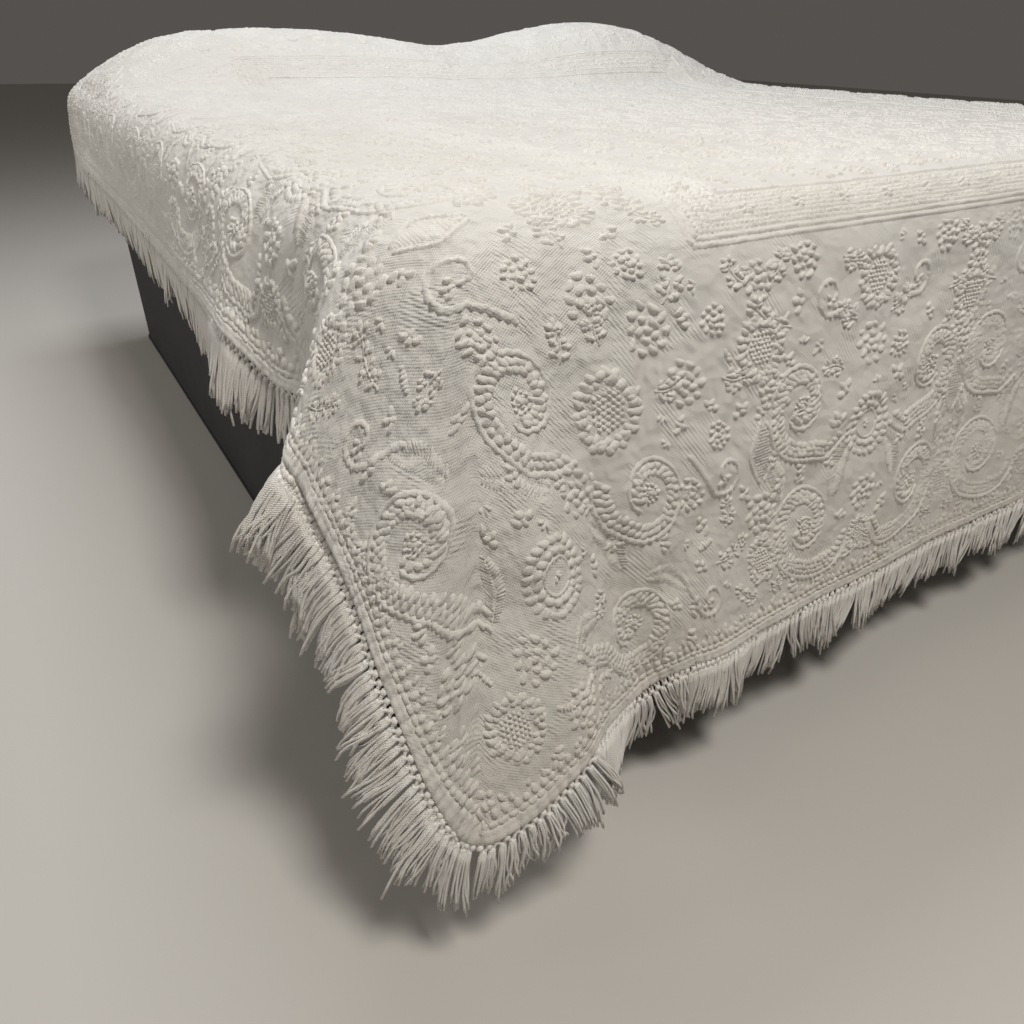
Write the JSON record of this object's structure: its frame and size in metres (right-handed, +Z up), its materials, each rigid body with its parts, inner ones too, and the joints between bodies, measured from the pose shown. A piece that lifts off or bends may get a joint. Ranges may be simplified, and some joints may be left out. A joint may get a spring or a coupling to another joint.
{
  "type": "bedspread on a bed",
  "caption": "White woven cotton bedspread with raised scroll and flower pattern and knotted fringe, draped over a king bed with two pillows, mattress and plain base.",
  "frame": {"origin": "on the floor under the middle of the bed base", "axes": "+X toward the bed's right side as seen from the foot, +Y toward the head, +Z up"},
  "size_m": [2.2376, 2.1997, 0.834],
  "materials": {
    "cotton": "matt raised-weave cotton",
    "yarn": "twisted cotton yarn",
    "pillowcase": "plain woven cotton",
    "ticking": "woven mattress ticking",
    "base_cover": "dark plain woven cover"
  },
  "bodies": {
    "root": {"bedspread": "cotton", "fringe_left": "yarn", "fringe_foot": "yarn", "fringe_right": "yarn", "pillow_left": "pillowcase", "pillow_right": "pillowcase", "mattress": "ticking", "bed_base": "base_cover"}
  },
  "joints": []
}
